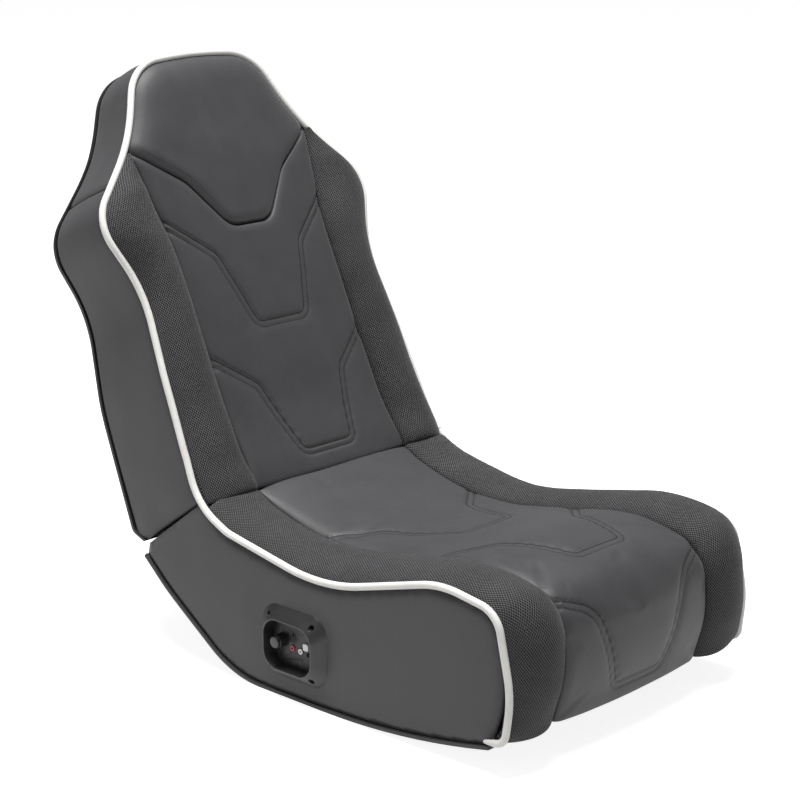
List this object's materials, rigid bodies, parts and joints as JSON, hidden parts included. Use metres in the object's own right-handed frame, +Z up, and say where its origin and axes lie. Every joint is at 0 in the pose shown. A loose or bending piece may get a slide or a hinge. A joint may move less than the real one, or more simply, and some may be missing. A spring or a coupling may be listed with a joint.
{
  "type": "gaming rocker chair",
  "caption": "Floor rocker chair with a curved base board, bolstered seat and lean-back rest that folds forward, white piping, chevron seams, and an audio control panel in the side",
  "frame": {"origin": "on the floor, in the chair's middle plane, at the rear end of the base board's flat stretch", "axes": "+X is the sitter's left, the sitter faces -Y, +Z is up"},
  "size_m": [0.5195, 0.9148, 0.8008],
  "materials": {
    "vinyl": "smooth grained upholstery over foam, low sheen",
    "mesh": "open diamond spacer mesh over foam, matte",
    "piping": "coated cord, low sheen",
    "black_board": "matte black lacquered board",
    "board": "raw fibreboard",
    "steel": "zinc plated",
    "black_screw": "blackened",
    "black_plastic": "fine matte texture",
    "bezel_plastic": "satin moulded",
    "knob_plastic": "fluted, satin face",
    "cone": "paper cone",
    "circuit_board": "green laminate",
    "red_plastic": "moulded",
    "white_plastic": "moulded",
    "lens": "smoked"
  },
  "bodies": {
    "seat": {"rocker_base": "black_board", "seat_side_cover_left": "vinyl", "seat_side_cover_right": "vinyl", "seat_cushion": "vinyl", "seat_bolster_left": "mesh", "seat_bolster_right": "mesh", "seat_piping_left": "piping", "seat_piping_right": "piping", "seat_side_board_left": "board", "seat_side_board_right": "board", "seat_deck": "board", "seat_front_rail": "board", "seat_middle_rail": "board", "seat_rear_rail": "board", "hinge_seat_leaf_left": "steel", "hinge_seat_leaf_right": "steel", "hinge_pin_left": "steel", "hinge_pin_right": "steel", "bezel_screws": "black_screw", "control_bezel": "bezel_plastic", "control_plate": "black_plastic", "amplifier_board": "circuit_board", "volume_potentiometer": "black_plastic", "audio_jack_red": "red_plastic", "audio_jack_white": "white_plastic", "headphone_jack": "black_plastic", "power_inlet": "black_plastic", "indicator_lens": "lens", "button_switch": "black_plastic"},
    "backrest": {"rear_panel": "black_board", "back_side_cover_left": "vinyl", "back_side_cover_right": "vinyl", "head_side_cover": "vinyl", "back_cushion": "vinyl", "head_cushion": "vinyl", "back_bolster_left": "mesh", "back_bolster_right": "mesh", "back_piping": "piping", "back_front_board": "board", "back_rib_left": "board", "back_rib_right": "board", "back_middle_rail": "board", "back_shoulder_rail": "board", "back_head_rail": "board", "back_foot_rail": "board", "hinge_back_leaf_left": "steel", "hinge_back_leaf_right": "steel", "rear_panel_screws": "black_screw", "speaker_basket_left": "black_plastic", "speaker_basket_right": "black_plastic", "speaker_cone_left": "cone", "speaker_cone_right": "cone"},
    "volume_knob": {"volume_knob": "knob_plastic", "volume_knob_shaft": "steel"},
    "push_button": {"push_button": "white_plastic"}
  },
  "joints": [
    {"name": "backrest_fold", "type": "hinge", "parent": "seat", "child": "backrest", "pos_m": [0, 0.114, 0.238], "axis": [1, 0, 0], "range_deg": [0, 100]},
    {"name": "volume_turn", "type": "hinge", "parent": "seat", "child": "volume_knob", "pos_m": [-0.244, -0.041, 0.0805], "axis": [-1, 0, 0], "range_deg": [-150, 150]},
    {"name": "button_press", "type": "slide", "parent": "seat", "child": "push_button", "axis": [1, 0, 0], "range_m": [0, 0.0012], "stiffness_N_per_m": 400, "springref_m": -0.0005}
  ]
}
